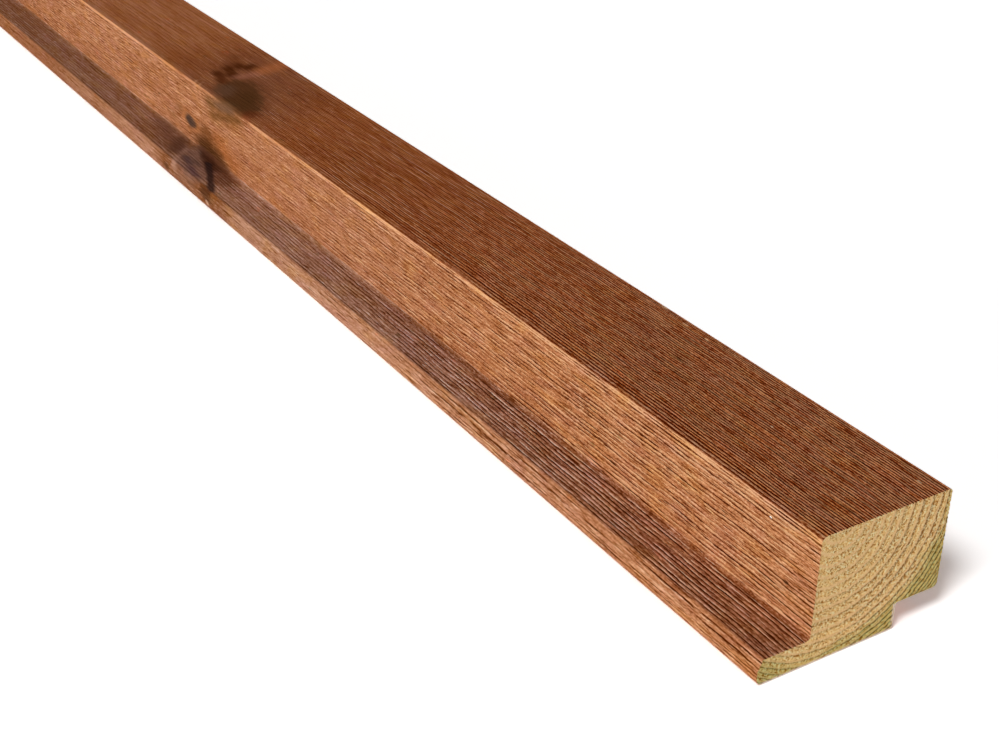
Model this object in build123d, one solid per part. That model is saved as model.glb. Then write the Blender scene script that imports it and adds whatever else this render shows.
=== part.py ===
from build123d import *
import os

# A lapped fence slat: one moulded length of pine.
# A thin lip runs along the lower left edge, and the rebate along the lower right edge
# takes the lip of the slat beside it.
# Millimetres. X is across the slat, Y along it and Z from the back to the visible face.
# The origin is on the back face, in the middle of the length and of the overall width.

# Driving dimensions
LENGTH = 1800.0
BLOCK_WIDTH = 45.0
THICKNESS = 40.0
LIP_REACH = 17.0
LIP_THICKNESS = 8.0
REBATE_DEPTH = 15.0

# Room over the neighbour's lip, so that the lap stays loose when the wood swells
LAP_CLEARANCE = 0.5

# Slope on the lip's outer edge, which sheds water
LIP_BEVEL_WIDTH = 1.5
LIP_BEVEL_DROP = 3.5

# Radii of the moulded edges and corners; the arris over the lip is rounder than the one over the rebate
LIP_TOE_RADIUS = 2.0
LIP_NOSE_RADIUS = 1.0
LIP_EDGE_RADIUS = 0.6
LIP_ROOT_RADIUS = 1.0
LIP_ARRIS_RADIUS = 2.0
LAP_ARRIS_RADIUS = 1.2
OVERHANG_RADIUS = 1.5
REBATE_ROOT_RADIUS = 0.5
BACK_EDGE_RADIUS = 0.7

# Places across the section, from left to right
overall_width = LIP_REACH + BLOCK_WIDTH
lip_nose = -overall_width / 2
block_left = lip_nose + LIP_REACH
block_right = block_left + BLOCK_WIDTH
rebate_wall = block_right - REBATE_DEPTH

# Heights above the back face
bevel_foot = LIP_THICKNESS - LIP_BEVEL_DROP
rebate_roof = LIP_THICKNESS + LAP_CLEARANCE

# Corners of the section as (x, z, radius), clockwise from the lip's toe
section_corners = [
    (lip_nose, 0, LIP_TOE_RADIUS),
    (lip_nose, bevel_foot, LIP_NOSE_RADIUS),
    (lip_nose + LIP_BEVEL_WIDTH, LIP_THICKNESS, LIP_EDGE_RADIUS),
    (block_left, LIP_THICKNESS, LIP_ROOT_RADIUS),
    (block_left, THICKNESS, LIP_ARRIS_RADIUS),
    (block_right, THICKNESS, LAP_ARRIS_RADIUS),
    (block_right, rebate_roof, OVERHANG_RADIUS),
    (rebate_wall, rebate_roof, REBATE_ROOT_RADIUS),
    (rebate_wall, 0, BACK_EDGE_RADIUS),
]


def moulded_section():
    """The lapped cross-section as a face across the slat's middle."""
    points = [(x, z) for x, z, radius in section_corners]
    radii = [radius for x, z, radius in section_corners]
    outline = FilletPolyline(*points, radius=radii, close=True)
    return Plane.XZ * make_face(outline)


def fence_slat():
    """The whole slat: the section run through its length, both ends cut square."""
    slat = extrude(moulded_section(), amount=LENGTH / 2, both=True)
    slat.label = "slat"
    return slat


os.makedirs("parts", exist_ok=True)
export_step(fence_slat(), "parts/slat.step")
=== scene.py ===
import math
from collections import namedtuple
from functools import reduce

import bpy
import numpy as np
from mathutils import Matrix, Vector
from mathutils.geometry import delaunay_2d_cdt


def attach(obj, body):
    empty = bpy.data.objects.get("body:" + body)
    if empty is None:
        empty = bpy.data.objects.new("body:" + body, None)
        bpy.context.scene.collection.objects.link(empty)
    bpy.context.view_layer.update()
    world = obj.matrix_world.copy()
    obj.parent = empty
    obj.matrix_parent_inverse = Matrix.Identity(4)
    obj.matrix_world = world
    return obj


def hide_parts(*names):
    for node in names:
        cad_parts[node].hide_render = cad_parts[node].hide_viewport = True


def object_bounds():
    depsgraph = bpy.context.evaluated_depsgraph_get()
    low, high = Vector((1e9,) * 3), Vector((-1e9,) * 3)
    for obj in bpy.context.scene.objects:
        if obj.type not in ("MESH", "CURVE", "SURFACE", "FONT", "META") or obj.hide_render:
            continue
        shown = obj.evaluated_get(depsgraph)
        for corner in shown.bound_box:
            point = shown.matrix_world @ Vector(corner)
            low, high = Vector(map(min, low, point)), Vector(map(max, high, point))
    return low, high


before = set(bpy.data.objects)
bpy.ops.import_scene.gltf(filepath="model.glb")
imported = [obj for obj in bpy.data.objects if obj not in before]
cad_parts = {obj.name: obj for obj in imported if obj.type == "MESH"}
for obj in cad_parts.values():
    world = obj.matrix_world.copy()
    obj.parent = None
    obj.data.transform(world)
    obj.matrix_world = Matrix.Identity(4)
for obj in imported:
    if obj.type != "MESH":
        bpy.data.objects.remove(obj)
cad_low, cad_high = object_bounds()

# Sizes are in millimetres and become metres where a mesh, lamp or camera is made.
# Meshes and the camera are in the part's own frame. Zones, knots and materials use section millimetres,
# which count from the block's left face, the near end and the back.
MM = 0.001
SEED = 4107

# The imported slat's box gives the overall sizes
LENGTH = (cad_high.y - cad_low.y) / MM
THICKNESS = (cad_high.z - cad_low.z) / MM
NEAR_END = cad_low.y / MM
LIP_NOSE = cad_low.x / MM
BLOCK_RIGHT = cad_high.x / MM

# The moulded section, as in the part's source
LIP_REACH = 17.0
LIP_THICKNESS = 8.0
LIP_ROOT_RADIUS = 1.0
ARRIS_RADIUS = 2.0
REBATE_DEPTH = 15.0
LAP_CLEARANCE = 0.5
LIP_BEVEL_WIDTH = 1.5
LIP_BEVEL_DROP = 3.5
BLOCK_LEFT = LIP_NOSE + LIP_REACH
BLOCK_WIDTH = BLOCK_RIGHT - BLOCK_LEFT
REBATE_WALL = BLOCK_RIGHT - REBATE_DEPTH
REBATE_ROOF = LIP_THICKNESS + LAP_CLEARANCE

# Corners as (x, z, radius, finish of the corner, finish of the run after it), clockwise from the lip's toe
SECTION = [
    (LIP_NOSE, 0, 2.0, "smooth", "side"),
    (LIP_NOSE, LIP_THICKNESS - LIP_BEVEL_DROP, 1.0, "smooth", "side"),
    (LIP_NOSE + LIP_BEVEL_WIDTH, LIP_THICKNESS, 0.6, "smooth", "lip"),
    (BLOCK_LEFT, LIP_THICKNESS, LIP_ROOT_RADIUS, "smooth", "side"),
    (BLOCK_LEFT, THICKNESS, ARRIS_RADIUS, "arris", "face"),
    (BLOCK_RIGHT, THICKNESS, 1.2, "smooth", "hidden"),
    (BLOCK_RIGHT, REBATE_ROOF, 1.5, "smooth", "smooth"),
    (REBATE_WALL, REBATE_ROOF, 0.5, "smooth", "smooth"),
    (REBATE_WALL, 0, 0.7, "smooth", "smooth"),
]
SMOOTH_STEP = 3.0
ARC_STEP = math.radians(18)
LEAST_ARC_STEPS = 2

# The moulder's combs, which leave the ribs: pitch, side of the lit edges, which get a painted highlight,
# depth of the grooves, its shares in every two grooves, sideways drift, and samples across a rib as (share of
# pitch, share of depth)
Comb = namedtuple("Comb", "pitch lit depth shares drift samples")
FINE_GROOVE = ((0.2, 0.0), (0.5, 1.0), (0.8, 0.0))
V_GROOVE = ((0.0, 0.0), (0.28, 0.06), (0.5, 1.0), (0.72, 0.06))
PLAIN_GROOVE = ((0.0, 0.0), (0.5, 1.0))
COMBS = {
    "face": Comb(0.95, 1, 0.28, (1.0, 0.3), 1.0, FINE_GROOVE),
    "arris": Comb(0.95, 1, 0.28, (0.3, 0.3), 0.0, FINE_GROOVE),
    "lip": Comb(1.39, 1, 0.38, (1.0, 0.9), -0.35, V_GROOVE),
    "side": Comb(1.39, -1, 0.32, (1.0, 0.9), 0.4, V_GROOVE),
    "hidden": Comb(1.39, -1, 0.38, (1.0, 0.9), 0.0, PLAIN_GROOVE),
}

# How a groove's depth changes along the slat, and how it strays in pitches, by (weight, wavelength)
GROOVE_MEAN = 0.8
GROOVE_CHANGES = ((0.22, 45), (0.3, 15))
GROOVE_LIMITS = (0.15, 1.25)
STRAY_CHANGES = ((0.09, 60), (0.09, 20))

# The ribs of a run swing together: how far, over what length, the lag across the run, the length of the
# slower drift, and the strip along the run's edges where they stop
SWING = 0.16
SWING_LENGTH = 36.0
SWING_LAG = 0.45
DRIFT_LENGTH = 600.0
SWING_STOP = 4.0

# Along the slat, as (millimetres, share): how deep the grooves are and how far the ribs swing
GROOVE_WEAR = ((0, 1.0), (120, 0.9), (220, 0.6), (350, 0.45), (LENGTH, 0.45))
SWING_SHARE = ((0, 1.0), (450, 1.0), (650, 0.0), (LENGTH, 0.0))

# Stretches along the length: the near one is cut finer, because it is seen closest
FINE_STRETCH = 700.0
FINE_CUTS = 150
COARSE_CUTS = 60
CUT_GRADING = 1.3

# Growth rings: the pith's place, rings per millimetre, and how they crowd in the outer wood
PITH_X = BLOCK_LEFT + 6.0
PITH_Z = 41.5
RINGS_EVEN = 0.3
RINGS_CROWD = 0.018
CROWD_FROM = 34.0
FIRST_RING = 0.35

# Relief of the cut ends: its grid, how far points stray and keep off the rim in shares of the grid, the
# deepest dip, how rare deep dips are, their share in late wood, and how its triangles are found
END_GRID = 0.7
END_STRAY = 0.3
END_RIM = 0.5
END_RELIEF = 0.2
DIP_RARITY = 1.5
LATE_DIP = 0.25
INSIDE_ONLY = 1
MERGE_GAP = 1e-6

# Edges between the zones of the long faces, which have a material each, in section millimetres
FACE_FOOT = THICKNESS - ARRIS_RADIUS
LIP_EDGE = -15.2
LIP_ROOT = LIP_THICKNESS + LIP_ROOT_RADIUS
ZONE_MARGIN = 0.01

# Where the bake's map holds the long faces and the two ends
BODY_MAP = 0.84
END_MAP_BASE = 0.85
END_MAP_SCALE = 0.0036
END_MAP_AT = {"near": 0.01, "far": 0.26}


def placed(name, data):
    """A new object in the scene that holds the data."""
    item = bpy.data.objects.new(name, data)
    bpy.context.scene.collection.objects.link(item)
    return item


def linear(red, green, blue):
    """A 0 to 255 screen colour as the linear values that nodes take."""
    values = []
    for value in (red, green, blue):
        share = value / 255
        values.append(share / 12.92 if share <= 0.04045 else ((share + 0.055) / 1.055) ** 2.4)
    return (*values, 1.0)


def grey(level):
    """A colour without hue, of that level."""
    return (level, level, level, 1.0)


# The section's outline

def corner_arc(before, corner, after, radius):
    """A function from share to (place, outward normal) round one corner, and the angle it turns by."""
    into = (before - corner).normalized()
    away = (after - corner).normalized()
    half_angle = into.angle(away) / 2
    start = corner + into * (radius / math.tan(half_angle))
    end = corner + away * (radius / math.tan(half_angle))
    centre = corner + (into + away).normalized() * (radius / math.sin(half_angle))
    first = math.atan2(start.y - centre.y, start.x - centre.x)
    last = math.atan2(end.y - centre.y, end.x - centre.x)
    sweep = (last - first + math.pi) % (2 * math.pi) - math.pi
    bulges = 1 if sweep < 0 else -1

    def spot(share):
        angle = first + sweep * share
        spoke = Vector((math.cos(angle), math.sin(angle)))
        return centre + spoke * radius, spoke * bulges

    return spot, abs(sweep)


def straight_run(start, end, normal):
    """A function from share to (place, outward normal) along a straight run."""
    return lambda share: (start + (end - start) * share, normal)


def outline_stretches():
    """The corners and runs in order, each as (function from share to place, length, steps, finish)."""
    count = len(SECTION)
    corners = [Vector(corner[:2]) for corner in SECTION]
    arcs = []
    for i in range(count):
        arcs.append(corner_arc(corners[i - 1], corners[i], corners[(i + 1) % count], SECTION[i][2]))
    stretches = []
    for i, (x, z, radius, corner_finish, run_finish) in enumerate(SECTION):
        spot, turn = arcs[i]
        steps = max(LEAST_ARC_STEPS, math.ceil(turn / ARC_STEP))
        stretches.append((spot, turn * radius, steps, corner_finish))
        start, normal = spot(1.0)
        end = arcs[(i + 1) % count][0](0.0)[0]
        length = (end - start).length
        steps = max(1, round(length / SMOOTH_STEP))
        stretches.append((straight_run(start, end, normal), length, steps, run_finish))
    return stretches


def outline_samples():
    """Samples round the outline as (place, outward normal, rib or -1, share of the groove's depth, freedom to
    swing, ribs before it), and each rib's comb."""
    samples = []
    rib_combs = []
    before = 0
    for spot, length, steps, finish in outline_stretches():
        if finish == "smooth":
            samples += [(*spot(k / steps), -1, 0.0, 0.0, before) for k in range(steps)]
            continue
        comb = COMBS[finish]
        ribs = max(1, round(length / comb.pitch))
        for k in range(ribs):
            for across, depth in comb.samples:
                share = (k + across) / ribs
                free = min(1.0, min(share, 1 - share) * length / SWING_STOP)
                ribs_before = before + comb.lit * (k + across)
                samples.append((*spot(share), len(rib_combs), depth, free, ribs_before))
            rib_combs.append(comb)
        before += comb.lit * ribs
    return samples, rib_combs


# The ribbed mesh

def stations():
    """Distances from the near end at which the section is repeated."""
    fine = FINE_STRETCH * (np.arange(FINE_CUTS) / FINE_CUTS) ** CUT_GRADING
    coarse = np.linspace(FINE_STRETCH, LENGTH, COARSE_CUTS + 1)
    return np.concatenate([fine, coarse])


def smooth_noise(random, rows, along, wavelength):
    """Rows of smooth random values from -1 to 1, with knots a wavelength apart."""
    knots = math.ceil(LENGTH / wavelength) + 3
    values = random.uniform(-1, 1, (rows, knots))
    place = along / wavelength
    low = np.floor(place).astype(int)
    share = place - low
    share = share * share * (3 - 2 * share)
    return values[:, low] * (1 - share) + values[:, low + 1] * share


def changes_along(random, rows, along, changes):
    """Rows of random values along the slat, added up from (weight, wavelength) changes."""
    return sum(weight * smooth_noise(random, rows, along, wavelength) for weight, wavelength in changes)


def level_along(along, stops):
    """The level at each station, between (millimetres, level) stops."""
    places, levels = zip(*stops)
    return np.interp(along, places, levels)


def ribbed_section(random, along):
    """The ribbed outline and the cuts of its grooves at each station, and each sample's place with no ribs,
    the ribs before it and the girth up to it."""
    samples, rib_combs = outline_samples()
    place, normal, rib, share, free, ribs_before = (np.array(column) for column in zip(*samples))
    across = np.stack([normal[:, 1], -normal[:, 0]], -1)
    share, free = share[:, None], free[:, None]
    steps = np.linalg.norm(np.roll(place, -1, 0) - place, axis=1)
    girth = np.concatenate([[0], np.cumsum(steps)])

    # One row for each rib, and a last one with no groove for the smooth stretches
    rows = len(rib_combs) + 1
    pitch = np.array([comb.pitch for comb in rib_combs] + [0.0])[:, None]
    depth = np.array([comb.depth for comb in rib_combs] + [0.0])[:, None]
    shares = np.array([comb.shares[k % 2] for k, comb in enumerate(rib_combs)] + [0.0])[:, None]
    drift = np.array([comb.drift for comb in rib_combs] + [0.0])[rib][:, None]

    uneven = GROOVE_MEAN + changes_along(random, rows, along, GROOVE_CHANGES)
    stray = changes_along(random, rows, along, STRAY_CHANGES)
    cut = shares * np.clip(uneven, *GROOVE_LIMITS) * level_along(along, GROOVE_WEAR)
    wave = np.sin(2 * math.pi * (along - SWING_LAG * girth[:-1, None]) / SWING_LENGTH)
    slow = drift * np.sin(2 * math.pi * along / DRIFT_LENGTH)
    swing = free * (SWING * wave + slow) * level_along(along, SWING_SHARE)
    sideways = (stray * pitch)[rib] * (share > 0) + swing
    inwards = (cut * depth)[rib] * share
    section = place[:, None] + across[:, None] * sideways[..., None] - normal[:, None] * inwards[..., None]
    return section, cut[rib], place, ribs_before, girth


def body_faces(along, girth):
    """The long sides' faces and the map of their corners, by shares of length and girth."""
    cuts = len(along)
    around = len(girth) - 1
    j, k = np.meshgrid(np.arange(cuts - 1), np.arange(around), indexing="ij")
    after = (k + 1) % around
    near = j * around
    far = near + around
    quads = np.stack([near + k, near + after, far + after, far + k], -1)
    corners = ((j, k), (j, k + 1), (j + 1, k + 1), (j + 1, k))
    spots = [np.stack([along[a], BODY_MAP * girth[b]], -1) for a, b in corners]
    return quads.reshape(-1, 4).tolist(), np.stack(spots, -2).reshape(-1, 2)


def ring_count(x, z):
    """How many growth rings lie between the pith and a place in the section."""
    radius = np.hypot(x - PITH_X, z - PITH_Z)
    return FIRST_RING + RINGS_EVEN * radius + RINGS_CROWD * np.maximum(0, radius - CROWD_FROM) ** 2


def inside(points, outline):
    """Which of the points lie inside the closed outline."""
    x, z = points[:, :1], points[:, 1:]
    x1, z1 = outline[:, 0], outline[:, 1]
    x2, z2 = np.roll(x1, -1), np.roll(z1, -1)
    spans = (z1 > z) != (z2 > z)
    rise = np.where(z2 == z1, 1.0, z2 - z1)
    crossing = x1 + (z - z1) / rise * (x2 - x1)
    return (spans & (x < crossing)).sum(1) % 2 == 1


def end_points(random, outline):
    """Scattered places inside the outline, clear of it, for the relief of a sawn end."""
    rows = [np.arange(low, high, END_GRID) for low, high in zip(outline.min(0), outline.max(0))]
    grid = np.stack(np.meshgrid(*rows), -1).reshape(-1, 2)
    grid = grid + random.uniform(-END_STRAY, END_STRAY, grid.shape) * END_GRID
    grid = grid[inside(grid, outline)]
    gaps = np.hypot(*(grid[:, None, :] - outline[None, ::2, :]).transpose(2, 0, 1)).min(1)
    return grid[gaps > END_RIM * END_GRID]


def end_relief(random, end, ring):
    """A sawn end inside a ring of the body's vertices: its inner vertices, its triangles, which count the
    ring's vertices first, and the map of their corners."""
    outline = ring[:, [0, 2]]
    scatter = end_points(random, outline)
    points = np.concatenate([outline, scatter])
    flat = [Vector(point) for point in points]
    found = delaunay_2d_cdt(flat, [], [list(range(len(ring)))], INSIDE_ONLY, MERGE_GAP)
    sources = found[3]
    triangles = []
    for found_triangle in found[2]:
        triangle = [sources[t][0] for t in found_triangle]
        a, b, c = (flat[t] for t in triangle)
        clockwise = (b - a).cross(c - a) < 0
        if clockwise == (end == "near"):
            triangle.reverse()
        triangles.append(triangle)

    inward = 1 if end == "near" else -1
    early = 1 - (ring_count(*scatter.T) % 1) ** 2
    dip = END_RELIEF * random.uniform(0, 1, len(scatter)) ** DIP_RARITY * (LATE_DIP + (1 - LATE_DIP) * early)
    inner = np.stack([scatter[:, 0], ring[0, 1] + inward * dip, scatter[:, 1]], -1)
    spots = (points[np.concatenate(triangles)] - (LIP_NOSE, 0)) * END_MAP_SCALE
    return inner, triangles, spots + (END_MAP_AT[end], END_MAP_BASE)


def zone_numbers(places):
    """The number of the zone in which the outline goes on from each of the places."""
    x, z = places[:, 0] - BLOCK_LEFT, places[:, 1]
    names = list(ZONES)
    number = np.full(len(places), names.index("sides"))
    number[x < -ZONE_MARGIN] = names.index("lip")
    number[x < LIP_EDGE] = names.index("nose")
    number[z > FACE_FOOT - ZONE_MARGIN] = names.index("face")
    return number


# The slat's mesh: vertices in millimetres, faces, values at the vertices, the map of the faces' corners, the
# faces' zones, the number of vertices round the outline and of stations
SlatMesh = namedtuple("SlatMesh", "vertices faces attributes maps zones around cuts")


def slat_mesh():
    """The slat's mesh, with its ribs and its two sawn ends."""
    random = np.random.default_rng(SEED)
    along = stations()
    section, cut, place, ribs_before, girth = ribbed_section(random, along)
    around, cuts = len(place), len(along)
    body = np.empty((cuts, around, 3))
    body[..., 0] = section[..., 0].T
    body[..., 1] = NEAR_END + along[:, None]
    body[..., 2] = section[..., 1].T

    faces, body_map = body_faces(along / LENGTH, girth / girth[-1])
    vertices = body.reshape(-1, 3)
    zones = [np.tile(zone_numbers(place), cuts - 1)]
    maps = [body_map]
    for end, station in (("near", 0), ("far", cuts - 1)):
        inner, triangles, end_map = end_relief(random, end, body[station])
        rim = station * around
        first = len(vertices) - around
        for triangle in triangles:
            faces.append([rim + t if t < around else first + t for t in triangle])
        vertices = np.concatenate([vertices, inner])
        zones.append(np.full(len(triangles), len(ZONES)))
        maps.append(end_map)
    on_ends = (0, len(vertices) - cuts * around)
    attributes = {
        "rib": np.pad(np.tile(ribs_before, cuts), on_ends),
        "cut": np.pad(cut.T.reshape(-1), on_ends),
    }
    return SlatMesh(vertices, faces, attributes, np.concatenate(maps), np.concatenate(zones), around, cuts)


def build_slat():
    """The slat as one closed mesh, with a material for each zone and for the sawn ends."""
    made = slat_mesh()
    mesh = bpy.data.meshes.new("ribbed_slat")
    mesh.from_pydata((made.vertices * MM).tolist(), [], made.faces)
    for name, values in made.attributes.items():
        mesh.attributes.new(name, "FLOAT", "POINT").data.foreach_set("value", values.astype(np.float32))
    mesh.uv_layers.new(name="OFBake").data.foreach_set("uv", made.maps.astype(np.float32).ravel())
    mesh.polygons.foreach_set("material_index", made.zones.astype(np.int32))
    mesh.polygons.foreach_set("use_smooth", np.ones(len(made.faces), bool))

    # The rims of the two ends are sharp
    edges = np.empty(len(mesh.edges) * 2, np.int32)
    mesh.edges.foreach_get("vertices", edges)
    station = edges.reshape(-1, 2) // made.around
    on_rim = (station[:, 0] == station[:, 1]) & np.isin(station[:, 0], (0, made.cuts - 1))
    mesh.edges.foreach_set("use_edge_sharp", on_rim)
    mesh.update()

    slat = placed("ribbed_slat", mesh)
    for name, zone in ZONES.items():
        mesh.materials.append(stained_faces(name, zone))
    mesh.materials.append(sawn_end())
    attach(slat, "root")
    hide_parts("slat")


# Materials

# Noise patterns of the long faces: millimetres across and along the slat, detail and roughness
PATTERNS = {
    "torn": (0.5, 3.5, 3, 0.65),
    "breaks": (0.9, 20, 2, 0.5),
    "shine": (0.8, 16, 2, 0.5),
    "dark_hair": (0.42, 10, 2, 0.6),
    "pale_hair": (0.38, 8, 2, 0.6),
    "fibre": (0.5, 4.5, 3, 0.6),
    "speck": (0.3, 1.1, 2, 0.6),
    "streak": (2.2, 55, 2, 0.5),
    "cloud": (13, 75, 2, 0.5),
    "pits": (0.8, 2.8, 1, 0.5),
    "blotch": (4.5, 15, 2, 0.5),
    "smudge": (2.4, 7, 3, 0.5),
    "wobble": (2.5, 7, 3, 0.5),
    "rubbed_and_highlit": (0.6, 14, 3, 0.5),
}

# Noise levels at which a pattern starts to show and shows in full
SHOWS = {
    "breaks": (0.36, 0.62),
    "shine": (0.4, 0.62),
    "dark_hair": (0.55, 0.7),
    "pale_hair": (0.56, 0.72),
    "fibre": (0.3, 0.7),
    "pits": (0.74, 0.82),
    "rubbed_and_highlit": (0.34, 0.58),
}

# The colour sockets of a mix node, which share their names with the others
MIX_A = 6
MIX_B = 7
MIX_RESULT = 2


class Shader:
    """A material whose nodes are added by short calls. Sockets and plain numbers both serve as inputs."""

    def __init__(self, name):
        self.material = bpy.data.materials.new(name)
        self.material.use_nodes = True
        self.tree = self.material.node_tree
        self.surface = self.tree.nodes["Principled BSDF"]

    def put(self, socket, value):
        """Links a socket to the input, or sets a plain value on it."""
        if isinstance(value, bpy.types.NodeSocket):
            self.tree.links.new(value, socket)
        else:
            socket.default_value = value

    def node(self, kind, *values, **settings):
        """A new node with those settings, and values for its first inputs."""
        node = self.tree.nodes.new("ShaderNode" + kind)
        for name, setting in settings.items():
            setattr(node, name, setting)
        for socket, value in zip(node.inputs, values):
            if value is not None:
                self.put(socket, value)
        return node

    def math(self, operation, a, b=0.0, c=0.0, clamp=False):
        return self.node("Math", a, b, c, operation=operation, use_clamp=clamp).outputs[0]

    def times(self, *values):
        """The product of several values."""
        return reduce(lambda a, b: self.math("MULTIPLY", a, b), values)

    def total(self, *values):
        """The sum of several values."""
        return reduce(lambda a, b: self.math("ADD", a, b), values)

    def centred(self, value, weight):
        """A 0 to 1 pattern as a value from minus half the weight to half the weight."""
        return self.math("MULTIPLY_ADD", value, weight, -weight / 2)

    def vector(self, operation, a, b=None, c=None, scale=None):
        node = self.node("VectorMath", a, b, c, scale, operation=operation)
        return node.outputs["Value" if operation in ("LENGTH", "DOT_PRODUCT", "DISTANCE") else "Vector"]

    def split(self, vector):
        """The x, y and z of a vector."""
        return self.node("SeparateXYZ", vector).outputs

    def attribute(self, name):
        """A value that the mesh holds at its vertices."""
        return self.node("Attribute", attribute_name=name).outputs["Fac"]

    def section_place(self):
        """The place in section millimetres."""
        place = self.node("TexCoord").outputs["Object"]
        shift = (-BLOCK_LEFT, -NEAR_END, 0.0)
        return self.vector("MULTIPLY_ADD", place, (1 / MM,) * 3, shift)

    def flattened(self, place):
        """The place without its distance along the slat."""
        return self.vector("MULTIPLY", place, (1.0, 0.0, 1.0))

    def noise(self, vector, scale, detail, roughness):
        node = self.node("TexNoise", vector)
        node.inputs["Scale"].default_value = scale
        node.inputs["Detail"].default_value = detail
        node.inputs["Roughness"].default_value = roughness
        return node.outputs["Fac"]

    def pattern(self, place, name):
        """One of the noise patterns of the long faces."""
        across, along, detail, roughness = PATTERNS[name]
        drawn_out = self.vector("MULTIPLY", place, (1 / across, 1 / along, 1 / across))
        return self.noise(drawn_out, 1.0, detail, roughness)

    def shown(self, place, name, least=0.0, most=1.0):
        """A noise pattern as a level, the least where it doesn't show and the most where it does."""
        return self.spread(self.pattern(place, name), *SHOWS[name], least, most)

    def spread(self, value, low, high, to_low=0.0, to_high=1.0):
        """The value from low to high, drawn out smoothly to another stretch and held at its ends."""
        node = self.node("MapRange", value, low, high, to_low, to_high, interpolation_type="SMOOTHSTEP")
        return node.outputs["Result"]

    def mix(self, share, a, b, blend="MIX"):
        """The colour a where the share is 0, blended with b where it is 1."""
        node = self.node("Mix", share, data_type="RGBA", blend_type=blend, clamp_factor=True)
        self.put(node.inputs[MIX_A], a)
        self.put(node.inputs[MIX_B], b)
        return node.outputs[MIX_RESULT]

    def tinted(self, share, colour, tint):
        """The colour, filtered by a tint where the share is 1."""
        return self.mix(share, colour, (*tint, 1.0), "MULTIPLY")

    def colours(self, value, tints):
        """A ramp through screen colours, evenly spaced from 0 to 1."""
        last = len(tints) - 1
        return self.ramp(value, [(k / last, linear(*tint)) for k, tint in enumerate(tints)])

    def levels(self, value, stops):
        """A grey ramp through (place, level) stops."""
        return self.ramp(value, [(place, grey(level)) for place, level in stops])

    def along(self, y, stops):
        """A level along the slat, through (millimetres, level) stops."""
        shares = [(place / LENGTH, level) for place, level in stops]
        return self.levels(self.math("DIVIDE", y, LENGTH), shares)

    def ramp(self, value, stops):
        node = self.node("ValToRGB", value)
        elements = node.color_ramp.elements
        while len(elements) < len(stops):
            elements.new(0.5)
        for element, (place, tint) in zip(elements, stops):
            element.position = place
            element.color = tint
        return node.outputs["Color"]

    def cover(self, colour, roughness, gloss):
        """Gives the surface its colour, roughness and gloss."""
        for name, value in (("Base Color", colour), ("Roughness", roughness), ("Specular IOR Level", gloss)):
            self.put(self.surface.inputs[name], value)

    def bump(self, height, distance):
        """Tilts the surface as a relief of that height, times the distance in millimetres, would."""
        node = self.node("Bump")
        node.inputs["Strength"].default_value = 1.0
        node.inputs["Distance"].default_value = distance * MM
        self.put(node.inputs["Height"], height)
        self.put(self.surface.inputs["Normal"], node.outputs["Normal"])


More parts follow.
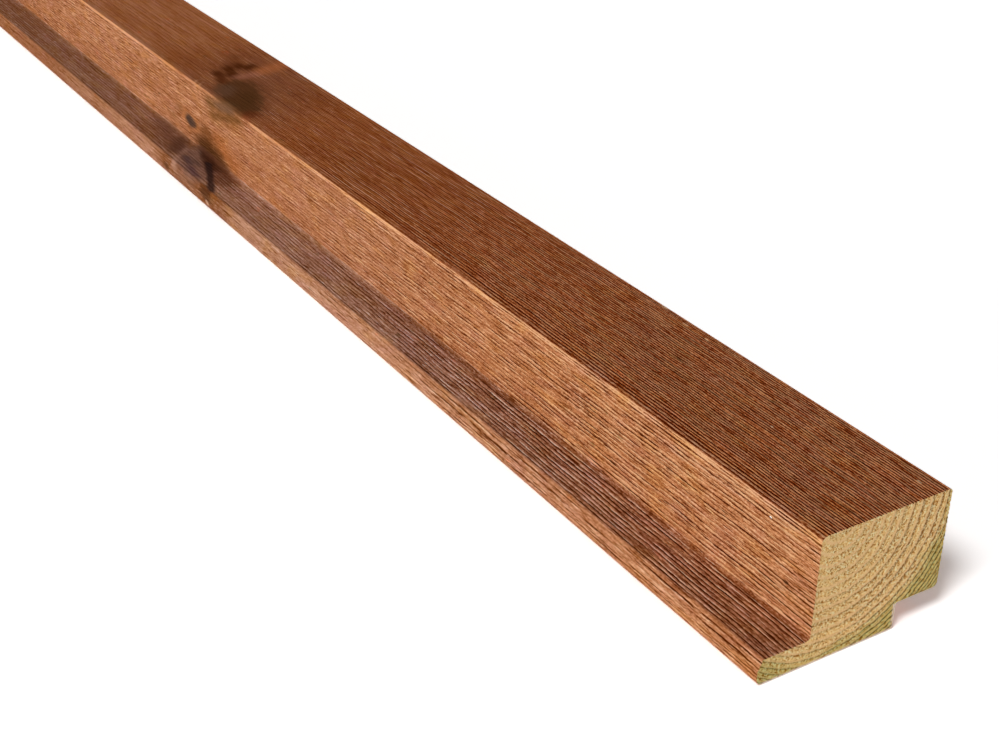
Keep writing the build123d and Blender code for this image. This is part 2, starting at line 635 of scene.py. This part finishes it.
# Knots and stains as soft spots: from, to, radii, softness, strength, colour, all in section millimetres
TOP = THICKNESS
LIP = LIP_THICKNESS
SPOTS = [
    # big knot on the visible face, against the upper left edge, with torn fibres behind it
    ((10, 385, TOP), (26, 405, TOP), (20, 32, 2), 0.9, 0.32, (142, 100, 84)),
    ((5, 372, TOP), (15, 392, TOP), (9, 15, 2), 0.6, 0.6, (130, 76, 46)),
    ((3, 369, TOP), (12.5, 392, TOP), (8.4, 12, 2), 0.35, 0.95, (108, 66, 38)),
    ((5, 391, TOP), (8, 395, TOP), (4, 6, 2), 0.7, 0.65, (122, 84, 62)),
    ((6, 372, TOP), (12, 380, TOP), (5, 7, 2), 0.9, 0.6, (96, 60, 30)),
    ((1, 357, TOP), (4, 359, TOP), (2.5, 4, 2), 0.9, 0.55, (132, 60, 28)),
    ((10, 406, TOP), (12, 409, TOP), (1.7, 4.5, 2), 0.9, 0.85, (108, 54, 24)),
    ((12, 415, TOP), (14, 416, TOP), (1.5, 5, 2), 0.9, 0.95, (98, 48, 20)),
    ((16.5, 411, TOP), (19, 413, TOP), (1.4, 4.5, 2), 0.9, 0.9, (100, 50, 20)),
    ((18, 418, TOP), (21, 421, TOP), (1.5, 5, 2), 0.9, 0.95, (96, 46, 16)),
    ((24, 421, TOP), (26, 422, TOP), (1.5, 5, 2), 0.9, 0.95, (96, 46, 16)),
    ((27, 417, TOP), (31, 418, TOP), (1.4, 4.5, 2), 0.9, 0.9, (100, 48, 18)),
    ((24, 427, TOP), (29.5, 434, TOP), (2, 5, 2), 0.8, 0.5, (126, 68, 36)),
    ((19, 407, TOP), (27, 407, TOP), (2.5, 3, 2), 0.9, 0.4, (206, 132, 104)),
    ((31, 409, TOP), (44, 413.5, TOP), (3.5, 5, 2), 0.9, 0.5, (222, 128, 74)),
    # the same knot where it runs out on the left side
    ((0, 392, 29), (0, 370, 35), (3, 9, 3.5), 0.9, 0.55, (156, 102, 54)),
    ((0, 396, 34.8), (0, 376, 37.8), (3, 6, 2.4), 0.9, 0.8, (124, 84, 48)),
    ((0, 384, 36.2), (0, 374, 38), (3, 6, 1.6), 0.9, 0.55, (126, 92, 72)),
    ((0, 392, 29.8), (0, 364, 36), (3, 4, 1.3), 0.9, 0.75, (116, 72, 34)),
    ((0, 412.4, 38.5), (0, 411, 34), (3, 1, 2.5), 0.7, 0.4, (212, 150, 108)),
    ((0, 407.5, 38), (0, 406, 34), (3, 1, 2.5), 0.7, 0.4, (212, 150, 108)),
    # small knot on the left side, with its paler ring
    ((0, 426, 19.2), (0, 416, 17.6), (3, 7, 4), 0.6, 0.55, (206, 130, 78)),
    ((0, 421.3, 18.5), (0, 420.7, 18.3), (3, 6, 2.8), 0.45, 0.95, (92, 68, 56)),
    ((0, 423, 18.2), (0, 421, 17.6), (3, 3.5, 1.2), 0.8, 0.55, (66, 48, 40)),
    ((0, 433, 21.4), (0, 435, 20.4), (3, 4.5, 1.8), 0.8, 0.5, (140, 90, 54)),
    ((0, 443, 15.2), (0, 442, 15), (3, 4, 2), 0.8, 0.4, (150, 98, 60)),
    # dark branch across the foot of the left side
    ((0, 392, 18), (0, 372, 13), (3, 9, 4.5), 0.9, 0.72, (176, 102, 52)),
    ((0, 403, 18.5), (0, 398, 13), (3, 9, 3.2), 0.9, 0.8, (120, 70, 34)),
    ((0, 408, 11.5), (0, 392, 9.5), (3, 10, 3.8), 0.8, 0.9, (84, 48, 22)),
    # the branch and its grey shadow on the lip
    ((-1, 452, LIP), (-8, 420, LIP), (4.5, 10, 2), 0.8, 0.65, (118, 78, 60)),
    ((-3, 427, LIP), (-9.4, 417, LIP), (2.6, 5, 2), 0.8, 0.7, (96, 61, 44)),
    ((-5, 404, LIP), (-12, 388, LIP), (6.5, 12, 2), 0.6, 0.8, (140, 103, 88)),
    ((-9.4, 405, LIP), (-10.3, 400, LIP), (1.6, 4, 2), 0.8, 0.7, (82, 62, 66)),
    ((-12.4, 392, LIP), (-13.6, 385, LIP), (1.3, 4, 2), 0.8, 0.65, (96, 66, 74)),
    ((-7.6, 398, LIP), (-8.1, 395, LIP), (1.3, 3, 2), 0.8, 0.55, (104, 76, 68)),
    ((-5, 415.5, LIP), (-8.4, 412, LIP), (0.9, 1.8, 2), 0.9, 0.4, (190, 142, 120)),
    ((-11.5, 409.5, LIP), (-16, 404, LIP), (0.8, 1.8, 2), 0.9, 0.45, (196, 150, 130)),
    ((-0.5, 394, LIP), (-5, 372, LIP), (4, 9, 2), 0.9, 0.8, (98, 55, 32)),
    ((1.5, 410, LIP), (-4.5, 388, LIP), (2, 6, 2), 0.7, 0.9, (80, 44, 27)),
    ((-3.8, 393, LIP), (-14.6, 364, LIP), (1.2, 3, 2), 0.6, 0.92, (58, 38, 34)),
    # marks on the lip's outer edge
    ((-17, 411, 4.1), (-17, 410, 3.6), (3, 2.8, 1.4), 0.6, 0.8, (100, 60, 34)),
    ((-17, 405, 6.8), (-17, 401, 5.4), (3, 1.6, 1.6), 0.8, 0.4, (210, 162, 136)),
    ((-17, 369, 6.4), (-17, 364, 4.8), (3, 4.5, 1.8), 0.7, 0.8, (88, 52, 30)),
    ((-17, 364.5, 3.1), (-17, 363.5, 2.6), (3, 1.2, 0.8), 0.6, 0.7, (226, 178, 146)),
    ((-17, 394, 4.2), (-17, 384, 5.4), (3, 6, 2), 0.8, 0.45, (150, 108, 86)),
    # pale slivers and flecks that lie in the grooves
    ((43.7, 123.5, TOP), (43.7, 125.5, TOP), (0.3, 0.5, 2), 0.5, 0.8, (255, 206, 160)),
    ((42.1, 110.5, TOP), (42.1, 112.5, TOP), (0.25, 0.5, 2), 0.5, 0.7, (255, 206, 160)),
    ((41.5, 99.5, TOP), (41.6, 100.5, TOP), (0.25, 0.4, 2), 0.5, 0.7, (255, 206, 160)),
    ((42.5, 86.5, TOP), (42.5, 87.5, TOP), (0.25, 0.4, 2), 0.5, 0.7, (255, 206, 160)),
    ((39.4, 6.2, TOP), (39.6, 7.4, TOP), (0.28, 0.4, 2), 0.5, 0.8, (255, 212, 170)),
    ((24.5, 48.6, TOP), (24.7, 49, TOP), (0.28, 0.4, 2), 0.5, 0.8, (255, 212, 170)),
    ((0, 19.2, 35), (0, 19.4, 35), (2, 0.35, 0.38), 0.4, 0.98, (255, 250, 240)),
    # small dark pits on the left side
    ((0, 10.8, 19.6), (0, 11.4, 19.5), (2, 0.8, 0.55), 0.5, 0.85, (84, 40, 14)),
    ((0, 62, 26.5), (0, 63, 26.4), (2, 0.9, 0.5), 0.5, 0.8, (96, 46, 18)),
    ((0, 88.5, 14.5), (0, 90, 14.4), (2, 1, 0.5), 0.5, 0.8, (96, 46, 18)),
]

# Stained wood in screen colours, from the darkest groove to the palest painted highlight on a rib's lit edge
LIP_STAIN = ((98, 38, 6), (144, 76, 35), (190, 121, 78), (226, 158, 114), (255, 198, 152))
SIDE_STAIN = ((98, 37, 4), (144, 75, 32), (190, 119, 73), (226, 155, 107), (255, 194, 143))
FACE_STAIN = ((104, 34, 0), (142, 68, 20), (190, 117, 72), (234, 164, 124), (255, 202, 166))

# Across one rib, as (share of the pitch, level): where the groove is dark and where a highlight is painted on
# the lit edge
GROOVE_BAND = ((0.0, 0.0), (0.3, 0.0), (0.45, 1.0), (0.55, 1.0), (0.7, 0.0))
FACE_GROOVE_BAND = ((0.0, 0.0), (0.2, 0.0), (0.38, 1.0), (0.62, 1.0), (0.78, 0.0))
PAINTED_HIGHLIGHT_BAND = ((0.0, 0.15), (0.1, 0.0), (0.62, 0.0), (0.74, 1.0), (0.84, 0.45), (1.0, 0.15))

# Weights in the tone, and what grooves and hairs take from it on the whole
BOLDEST = 1.2
DARK_HAIR = 0.55
PALE_HAIR = 0.6
FIBRE_GRAIN = 0.85
SPECK_GRAIN = 1.25
PIT_DEPTH = 0.34
TEXTURE_MEAN = 0.16

# Ochre, mauve, olive and red patches: pattern, noise levels from none to all of it, and filter
PATCHES = (
    ("blotch", (0.52, 0.68), (1.02, 1.0, 0.84)),
    ("blotch", (0.48, 0.32), (0.99, 0.97, 1.08)),
    ("smudge", (0.66, 0.76), (0.62, 0.7, 0.6)),
    ("smudge", (0.34, 0.24), (1.1, 0.84, 0.72)),
)

# How strongly ribs and fibres show in knots, the range of the roughness, and the bump in millimetres
KNOT_RELIEF = 1.2
STAIN_ROUGHNESS = (0.55, 0.75)
GROOVE_BUMP = 0.16
TEXTURE_BUMP = 0.14

# The pale line on the arris over the lip, partly real wear and partly a painted highlight: the middle of the
# line, the distances from none to all of it, its least share, and how pale it is along the slat
ARRIS_LINE = (0.05, 0.0, 38.45)
ARRIS_FADE = (0.75, 0.3)
ARRIS_LEAST = 0.3
ARRIS_PALE = ((0, 1.0), (200, 0.75), (330, 0.36), (LENGTH, 0.26))

# Above that line the arris has the face's stain, filtered darker from the line to the flat face
ARRIS_STAIN_EDGE = (38.8, 39.1)
ARRIS_DARK_FROM = (0.15, 0.4)
ARRIS_DARK_TO = (2.2, 1.0)
ARRIS_DARK = (0.66, 0.76, 0.92)

# Painted shade in the corner where the lip meets the side: its middle, the distances from none to all of it,
# and how dark it is
CORNER_LINE = (-0.7, 0.0, 8.2)
CORNER_FADE = (1.3, 0.5)
CORNER_DARK = ((0, 0.2), (200, 0.16), (300, 0.05), (LENGTH, 0.05))

# The look of each zone: its box in the section, its stain, how torn and how dark its grooves are, how pale
# the painted highlights on the lit edges are, and along the slat the texture's strength, the middle tone and
# the share of a tint.
# Most zones have the same band, evenness of the grooves, and weights of hairs, streaks and clouds.
Zone = namedtuple(
    "Zone",
    "box stain torn groove gleam keen tone tint tint_share band even hair streak cloud",
    defaults=(GROOVE_BAND, 0.1, 1.0, 0.3, 0.18),
)
ZONES = {
    "face": Zone(
        box=((0.0, FACE_FOOT), (BLOCK_WIDTH, TOP)),
        stain=FACE_STAIN,
        band=FACE_GROOVE_BAND,
        torn=0.42,
        even=0.6,
        groove=3.2,
        gleam=3.0,
        hair=0.6,
        cloud=0.12,
        keen=((0, 1.3), (110, 1.25), (220, 0.56), (330, 0.36), (480, 0.2), (LENGTH, 0.12)),
        tone=((0, 0.47), (200, 0.41), (335, 0.41), (365, 0.37), (440, 0.39), (475, 0.5), (LENGTH, 0.49)),
        tint=(1.0, 0.76, 0.54),
        tint_share=(
            (0, 1.0), (130, 1.0), (180, 0.85), (230, 0.62),
            (280, 0.42), (335, 0.4), (360, 0.1), (LENGTH, 0.0),
        ),
    ),
    "lip": Zone(
        box=((LIP_EDGE, LIP), (0.0, LIP_ROOT)),
        stain=LIP_STAIN,
        torn=0.46,
        groove=1.35,
        gleam=1.0,
        keen=((0, 1.0), (100, 1.0), (220, 0.7), (330, 0.48), (500, 0.4), (LENGTH, 0.35)),
        tone=(
            (0, 0.34), (60, 0.32), (180, 0.32), (220, 0.35),
            (300, 0.405), (340, 0.4), (430, 0.28), (LENGTH, 0.27),
        ),
        tint=(1.0, 1.55, 2.7),
        tint_share=(
            (0, 0.12), (60, 0.18), (110, 0.34), (200, 0.7),
            (330, 0.78), (460, 0.8), (520, 1.0), (LENGTH, 0.9),
        ),
    ),
    "nose": Zone(
        box=((-LIP_REACH, 0.0), (LIP_EDGE, LIP)),
        stain=SIDE_STAIN,
        torn=0.6,
        groove=0.75,
        gleam=0.65,
        keen=((0, 0.85), (100, 0.85), (220, 0.65), (330, 0.52), (500, 0.35), (LENGTH, 0.35)),
        tone=(
            (0, 0.43), (240, 0.43), (335, 0.48), (350, 0.26), (415, 0.26),
            (430, 0.43), (500, 0.38), (560, 0.32), (LENGTH, 0.31),
        ),
        tint=(1.0, 1.42, 2.3),
        tint_share=(
            (0, 0.05), (100, 0.25), (200, 0.45), (330, 0.75),
            (460, 0.65), (530, 0.75), (580, 0.55), (LENGTH, 0.5),
        ),
    ),
    "sides": Zone(
        box=((0.0, LIP_ROOT), (0.0, FACE_FOOT)),
        stain=SIDE_STAIN,
        torn=0.48,
        groove=0.78,
        gleam=1.05,
        keen=((0, 1.05), (100, 1.05), (220, 0.78), (330, 0.6), (500, 0.75), (LENGTH, 0.8)),
        tone=(
            (0, 0.47), (60, 0.46), (110, 0.41), (200, 0.415), (300, 0.43),
            (430, 0.42), (600, 0.42), (650, 0.38), (LENGTH, 0.38),
        ),
        tint=(1.0, 1.09, 1.28),
        tint_share=((0, 0.0), (140, 0.0), (200, 0.5), (260, 1.0), (400, 0.8), (LENGTH, 0.7)),
    ),
}


def stained_faces(name, zone):
    """Brown-stained pine in one zone: ribs, fibres, flecks, pits and knots."""
    shade = Shader(f"stained_pine_{name}")
    place = shade.section_place()
    x, y, z = shade.split(place)
    cut = shade.attribute("cut")

    # Grooves with torn borders, broken along the slat, and a highlight painted on the ribs' lit edges
    torn = shade.centred(shade.pattern(place, "torn"), zone.torn)
    phase = shade.math("FRACT", shade.math("ADD", shade.attribute("rib"), torn))
    breaks = shade.shown(place, "breaks", zone.even, BOLDEST)
    groove = shade.times(shade.levels(phase, zone.band), cut, breaks)
    shine = shade.shown(place, "shine", 0.0, BOLDEST)
    painted_highlight = shade.times(shade.levels(phase, PAINTED_HIGHLIGHT_BAND), cut, shine)
    ribbing = shade.math("MULTIPLY_ADD", groove, -zone.groove, shade.times(painted_highlight, zone.gleam))

    # Fibres: dark and pale hairs that stray from the ribs, and short grains on them
    dark_hair = shade.shown(place, "dark_hair")
    pale_hair = shade.times(shade.shown(place, "pale_hair"), PALE_HAIR * zone.hair)
    hairs = shade.math("MULTIPLY_ADD", dark_hair, -DARK_HAIR * zone.hair, pale_hair)
    fibre = shade.pattern(place, "fibre")
    speck = shade.pattern(place, "speck")
    grains = shade.total(shade.centred(fibre, FIBRE_GRAIN), shade.centred(speck, SPECK_GRAIN))

    # The tone adds up the ribs, the fibres on them, the slow changes over the slat and small pits
    keen = shade.along(y, zone.keen)
    texture = shade.times(shade.total(ribbing, hairs, grains, TEXTURE_MEAN), keen)
    streaks = shade.centred(shade.pattern(place, "streak"), zone.streak)
    clouds = shade.centred(shade.pattern(place, "cloud"), zone.cloud)
    slow = shade.total(shade.along(y, zone.tone), streaks, clouds)
    pits = shade.times(shade.shown(place, "pits", 0.0, PIT_DEPTH), keen)
    tone = shade.math("SUBTRACT", shade.math("ADD", texture, slow), pits)
    # The arris gets a pale line, partly real wear and partly a painted highlight
    if name in ("face", "sides"):
        tone = shade.math("ADD", tone, arris_wear_and_highlight(shade, place, y))
    # The corner where the lip meets the side is darkened with painted shade
    if name in ("lip", "sides"):
        tone = shade.math("SUBTRACT", tone, corner_painted_shade(shade, place, y))

    colour = shade.tinted(shade.along(y, zone.tint_share), shade.colours(tone, zone.stain), zone.tint)
    if name == "face":
        colour = arris_stain(shade, x, z, tone, colour)
    patterns = {pattern: shade.pattern(place, pattern) for pattern in ("blotch", "smudge")}
    for pattern, shows, tint in PATCHES:
        colour = shade.tinted(shade.spread(patterns[pattern], *shows), colour, tint)

    # Ribs and fibres show through the knots
    wobble = shade.centred(shade.pattern(place, "wobble"), 1.0)
    knots = 0.0
    for start, end, radii, softness, strength, tint in spots_in(zone.box):
        share = shade.times(soft_spot(shade, place, wobble, start, end, radii, softness), strength)
        colour = shade.mix(share, colour, linear(*tint))
        knots = shade.math("MAXIMUM", knots, share)
    relief = shade.math("MULTIPLY_ADD", texture, KNOT_RELIEF, 1.0)
    colour = shade.mix(knots, colour, shade.vector("SCALE", colour, scale=relief))

    roughness = shade.spread(fibre, *SHOWS["fibre"], *STAIN_ROUGHNESS)
    shade.cover(colour, roughness, 0.0)
    shade.bump(shade.math("MULTIPLY_ADD", groove, -GROOVE_BUMP, shade.times(texture, TEXTURE_BUMP)), 1.0)
    return shade.material


def arris_wear_and_highlight(shade, place, y):
    """How much paler the arris over the lip is, partly real wear and partly a painted highlight."""
    distance = shade.vector("DISTANCE", shade.flattened(place), ARRIS_LINE)
    rubbed_and_highlit = shade.shown(place, "rubbed_and_highlit", ARRIS_LEAST, 1.0)
    return shade.times(shade.spread(distance, *ARRIS_FADE), rubbed_and_highlit, shade.along(y, ARRIS_PALE))


def arris_stain(shade, x, z, tone, colour):
    """The face's colour with the side's stain on the arris below its pale line, and darker above it."""
    dark = shade.times(shade.spread(x, *ARRIS_DARK_FROM), shade.spread(x, *ARRIS_DARK_TO))
    colour = shade.tinted(dark, colour, ARRIS_DARK)
    return shade.mix(shade.spread(z, *ARRIS_STAIN_EDGE), shade.colours(tone, SIDE_STAIN), colour)


def corner_painted_shade(shade, place, y):
    """How much painted shade darkens the corner where the lip meets the side."""
    distance = shade.vector("DISTANCE", shade.flattened(place), CORNER_LINE)
    return shade.times(shade.spread(distance, *CORNER_FADE), shade.along(y, CORNER_DARK))


def spots_in(box):
    """The spots that reach into a zone's box."""
    (low_x, low_z), (high_x, high_z) = box
    found = []
    for spot in SPOTS:
        start, end, radii, softness = spot[:4]
        reach_x, reach_z = radii[0] * (1 + softness), radii[2] * (1 + softness)
        beside = max(start[0], end[0]) + reach_x < low_x or min(start[0], end[0]) - reach_x > high_x
        above = max(start[2], end[2]) + reach_z < low_z or min(start[2], end[2]) - reach_z > high_z
        if not beside and not above:
            found.append(spot)
    return found


def soft_spot(shade, place, wobble, start, end, radii, softness):
    """1 inside a rounded bar from start to end with those radii, falling to 0 over its soft rim."""
    squeeze = tuple(1 / radius for radius in radii)
    start = Vector([a * s for a, s in zip(start, squeeze)])
    end = Vector([a * s for a, s in zip(end, squeeze)])
    bar = end - start
    here = shade.vector("MULTIPLY_ADD", place, squeeze, tuple(-start))
    share = shade.vector("DOT_PRODUCT", here, tuple(bar))
    share = shade.math("DIVIDE", share, bar.length_squared, clamp=True)
    here = shade.vector("SUBTRACT", here, shade.vector("SCALE", tuple(bar), scale=share))
    distance = shade.math("ADD", shade.vector("LENGTH", here), wobble)
    return shade.spread(distance, 1 - softness, 1 + softness, 1.0, 0.0)


# Noise patterns of the cut end: scale, detail and roughness
BEND_NOISE = (0.16, 2, 0.5)
HOLLOW_NOISE = (1.0, 3, 0.7)
GRIT_NOISE = (1.3, 3, 0.8)
TIP_NOISE = (1.5, 2, 0.7)
PATCH_NOISE = (0.2, 2, 0.5)
SHRED_NOISE = (1.3, 3, 0.5)

# Through one ring, as (share of its width, level): dense late wood, and the seam where a ring starts
LATE_WOOD = ((0.0, 0.3), (0.08, 0.0), (0.64, 0.0), (0.8, 1.0), (0.96, 1.0), (1.0, 0.3))
RING_SEAM = ((0.0, 1.0), (0.16, 0.9), (0.34, 0.0), (0.94, 0.0), (1.0, 1.0))

# How far the rings bend, and how clear their seams are outwards from the pith and round it, as (from, to,
# level at from, level at to)
RING_BEND = 1.6
CLEAR_OUTWARDS = (8, 34, 0.15, 1.0)
CLEAR_TURNING = (-1.6, -0.9, 0.45, 1.0)

# Torn fibres: a hollow's width, hollows to a radian, the noise levels from none to all of hollows, tips and
# broken seams, and the range of the rough patches
HOLLOW_WIDTH = 0.7
HOLLOWS_TURNING = 20.0
HOLLOW_SHOWS = (0.5, 0.66)
TIP_SHOWS = (0.55, 0.65)
SEAM_BREAKS = (0.58, 0.46)
PATCH_SPREAD = (0.34, 0.6, 0.65, 1.1)

# The level of the torn fibres: its middle, the weights of grit, tips and hollows, and how calm late wood is
TORN_MIDDLE = 0.55
TORN_SHIFT = 0.05
GRIT_WEIGHT = 4.4
TIP_WEIGHT = 0.55
HOLLOW_WEIGHT = -0.7
LATE_CALM = -0.65

# Torn fibres from hollows to pale tips, and late wood and seams as (share, screen colour)
TORN_GRAIN = ((176, 110, 42), (220, 162, 86), (250, 202, 132), (255, 222, 156), (255, 238, 188))
LATE_COLOUR = (0.45, (238, 194, 150))
SEAM_COLOUR = (0.9, (150, 92, 30))

# The treated outer wood: its distance from the pith, how uneven that is, its filter, and its soaked seams
GREEN_FROM = (36, 43)
GREEN_BEND = 9.0
GREEN = (0.72, 0.82, 0.62)
SOAKED_SPREAD = (0.62, 0.46, 0.35, 1.0)
SOAKED_COLOUR = (58, 62, 12)

# The pale fringe along the lower rim and the rebate's wall: section millimetres and noise levels from none to
# all of it, and its (share, screen colour)
FRINGE_RIM = (0.55, 0.25)
FRINGE_WALL_ACROSS = (29.0, 29.5)
FRINGE_WALL_UP = (8.6, 8.1)
FRINGE_SHOWS = (0.32, 0.5)
FRINGE_COLOUR = (0.85, (246, 226, 212))

# The cut end's surface: roughness, gloss, the bump in millimetres and how deep seams lie in it
END_ROUGHNESS = 0.8
END_GLOSS = 0.05
END_BUMP = 0.12
SEAM_BUMP = -0.8


def sawn_end():
    """Freshly cross-cut pine: rings, torn fibres and the green of the treated outer wood."""
    shade = Shader("stained_pine_end")
    place = shade.section_place()
    flat = shade.flattened(place)
    bend = shade.noise(flat, *BEND_NOISE)
    radius, angle, late, seam = growth_rings(shade, flat, bend)

    # Torn fibres: grit all over, hollows drawn out along the rings, and pale tips
    hollow_out = shade.math("DIVIDE", radius, HOLLOW_WIDTH)
    hollow_round = shade.times(angle, HOLLOWS_TURNING)
    hollow_place = shade.node("CombineXYZ", hollow_out, hollow_round).outputs[0]
    hollow = shade.spread(shade.noise(hollow_place, *HOLLOW_NOISE), *HOLLOW_SHOWS)
    grit = shade.noise(flat, *GRIT_NOISE)
    tips = shade.spread(shade.noise(flat, *TIP_NOISE), *TIP_SHOWS)
    patch = shade.spread(shade.noise(flat, *PATCH_NOISE), *PATCH_SPREAD)
    rough = shade.times(shade.math("MULTIPLY_ADD", late, LATE_CALM, 1.0), patch)
    tips_and_hollows = shade.total(shade.times(tips, TIP_WEIGHT), shade.times(hollow, HOLLOW_WEIGHT))
    torn = shade.total(shade.centred(grit, GRIT_WEIGHT), tips_and_hollows, TORN_SHIFT)
    level = shade.math("MULTIPLY_ADD", torn, rough, TORN_MIDDLE)
    colour = laid_over(shade, shade.colours(level, TORN_GRAIN), late, LATE_COLOUR)

    # Rows of hollows where a ring starts, soaked dark in the green outer wood
    clear = shade.times(shade.spread(radius, *CLEAR_OUTWARDS), shade.spread(angle, *CLEAR_TURNING))
    broken = shade.times(seam, clear, shade.math("MAXIMUM", hollow, shade.spread(grit, *SEAM_BREAKS)))
    colour = laid_over(shade, colour, broken, SEAM_COLOUR)
    green = shade.spread(shade.math("ADD", radius, shade.centred(bend, GREEN_BEND)), *GREEN_FROM)
    colour = shade.tinted(green, colour, GREEN)
    soaked = shade.times(seam, green, clear, shade.spread(grit, *SOAKED_SPREAD))
    colour = shade.mix(soaked, colour, linear(*SOAKED_COLOUR))
    colour = laid_over(shade, colour, torn_fringe(shade, place, flat), FRINGE_COLOUR)

    shade.cover(colour, END_ROUGHNESS, END_GLOSS)
    shade.bump(shade.math("ADD", level, shade.times(broken, SEAM_BUMP)), END_BUMP)
    return shade.material


def growth_rings(shade, flat, bend):
    """Bent distance from the pith, angle round it, and levels of late wood and ring seams."""
    from_pith = shade.vector("SUBTRACT", flat, (PITH_X - BLOCK_LEFT, 0.0, PITH_Z))
    radius = shade.math("ADD", shade.vector("LENGTH", from_pith), shade.centred(bend, RING_BEND))
    x, y, z = shade.split(from_pith)
    angle = shade.math("ARCTAN2", z, x)
    outer = shade.math("MAXIMUM", shade.math("SUBTRACT", radius, CROWD_FROM), 0.0)
    crowded = shade.math("MULTIPLY_ADD", shade.math("POWER", outer, 2.0), RINGS_CROWD, FIRST_RING)
    phase = shade.math("FRACT", shade.math("MULTIPLY_ADD", radius, RINGS_EVEN, crowded))
    return radius, angle, shade.levels(phase, LATE_WOOD), shade.levels(phase, RING_SEAM)


def torn_fringe(shade, place, flat):
    """Where the saw tore pale fibres out, along the lower rim and the rebate's wall."""
    x, y, z = shade.split(place)
    rim = shade.spread(z, *FRINGE_RIM)
    wall = shade.times(shade.spread(x, *FRINGE_WALL_ACROSS), shade.spread(z, *FRINGE_WALL_UP))
    shred = shade.spread(shade.noise(flat, *SHRED_NOISE), *FRINGE_SHOWS)
    return shade.times(shade.math("MAXIMUM", rim, wall), shred)


def laid_over(shade, colour, level, layer):
    """The colour with a layer, given as (share, screen colour), over it where the level is 1."""
    share, screen_colour = layer
    return shade.mix(shade.times(level, share), colour, linear(*screen_colour))


# The floor's size and drop in metres, how bright it is to the camera and to other rays, and the sky's light
FLOOR_SIZE = 30.0
FLOOR_DROP = 0.0002
FLOOR_BRIGHT = 2.35
FLOOR_PLAIN = 0.85
SKY_LEVEL = 0.07

# Lamps as name, light that falls on faces towards +X, +Y and +Z, and the lamp's spread in degrees
LAMPS = [
    ("low_key", (-0.46, -0.05, 0.05), 16),
    ("high_key", (-0.19, -0.085, 0.27), 16),
    ("front_fill", (-0.02, -0.46, 0.04), 30),
    ("back_fill", (0.3, 0.2, 0.02), 40),
]

# The camera, from the vanishing point of the long edges and the corners of the near end
CAMERA_PLACE = (BLOCK_LEFT - 242.44, NEAR_END - 238.56, 266.21)
CAMERA_YAW = math.radians(31.732)
CAMERA_PITCH = math.radians(28.697)
CAMERA_ROLL = math.radians(-0.55)
FOCAL_PIXELS = 1600.8
IMAGE_WIDTH = 1000
SENSOR_WIDTH = 36.0
CLIP_START = 10.0


def seen_directly(nodes, links):
    """1 for rays from the camera, also by way of mirrors or glass, and 0 for the rest."""
    path = nodes.new("ShaderNodeLightPath")
    seen = path.outputs["Is Camera Ray"]
    for kind in ("Is Glossy Ray", "Is Transmission Ray"):
        either = nodes.new("ShaderNodeMath")
        either.operation = "MAXIMUM"
        links.new(seen, either.inputs[0])
        links.new(path.outputs[kind], either.inputs[1])
        seen = either.outputs[0]
    return seen


def shade_by_ray(owner, output_kind, shader_kind, unseen, seen):
    """Gives a material or world a shader with other settings for rays from the camera than for the rest."""
    owner.use_nodes = True
    nodes, links = owner.node_tree.nodes, owner.node_tree.links
    nodes.clear()
    output = nodes.new(output_kind)
    choice = nodes.new("ShaderNodeMixShader")
    links.new(seen_directly(nodes, links), choice.inputs["Fac"])
    for socket, settings in zip(choice.inputs[1:], (unseen, seen)):
        shader = nodes.new(shader_kind)
        for name, value in settings.items():
            shader.inputs[name].default_value = value
        links.new(shader.outputs[0], socket)
    links.new(choice.outputs[0], output.inputs["Surface"])


def build_floor():
    """A plain white floor. The camera sees it brighter, as white paper, and it keeps the shadow."""
    half = FLOOR_SIZE / 2
    mesh = bpy.data.meshes.new("floor")
    corners = [(x, y, -FLOOR_DROP) for x, y in ((-half, -half), (half, -half), (half, half), (-half, half))]
    mesh.from_pydata(corners, [], [(0, 1, 2, 3)])
    material = bpy.data.materials.new("white_floor")
    plain = {"Color": grey(FLOOR_PLAIN)}
    bright = {"Color": grey(FLOOR_BRIGHT)}
    shade_by_ray(material, "ShaderNodeOutputMaterial", "ShaderNodeBsdfDiffuse", plain, bright)
    mesh.materials.append(material)
    floor = placed("floor", mesh)


def build_light():
    """Soft suns, most of the light from the left, and an even sky that looks white to the camera."""
    for name, fall, spread in LAMPS:
        sun = bpy.data.lights.new(name, "SUN")
        sun.energy = Vector(fall).length * math.pi
        sun.angle = math.radians(spread)
        lamp = placed(name, sun)
        lamp.rotation_mode = "QUATERNION"
        lamp.rotation_quaternion = Vector(fall).to_track_quat("Z", "Y")

    world = bpy.data.worlds.new("studio")
    bpy.context.scene.world = world
    sky = {"Color": grey(1.0), "Strength": SKY_LEVEL}
    backdrop = {"Color": grey(1.0), "Strength": 1.0}
    shade_by_ray(world, "ShaderNodeOutputWorld", "ShaderNodeBackground", sky, backdrop)


def build_camera():
    """The camera at the photograph's viewpoint."""
    forward = Vector((
        math.sin(CAMERA_YAW) * math.cos(CAMERA_PITCH),
        math.cos(CAMERA_YAW) * math.cos(CAMERA_PITCH),
        -math.sin(CAMERA_PITCH),
    ))
    level = Vector((math.cos(CAMERA_YAW), -math.sin(CAMERA_YAW), 0.0))
    down = forward.cross(level)
    right = level * math.cos(CAMERA_ROLL) + down * math.sin(CAMERA_ROLL)
    up = level * math.sin(CAMERA_ROLL) - down * math.cos(CAMERA_ROLL)
    camera = bpy.data.cameras.new("camera")
    camera.sensor_width = SENSOR_WIDTH
    camera.lens = FOCAL_PIXELS * SENSOR_WIDTH / IMAGE_WIDTH
    camera.clip_start = CLIP_START * MM
    seat = placed("camera", camera)
    turn = Matrix((right, up, -forward)).transposed()
    seat.matrix_world = Matrix.Translation(Vector(CAMERA_PLACE) * MM) @ turn.to_4x4()
    bpy.context.scene.camera = seat


build_slat()
build_floor()
build_light()
build_camera()
bpy.context.scene.view_settings.view_transform = "Standard"
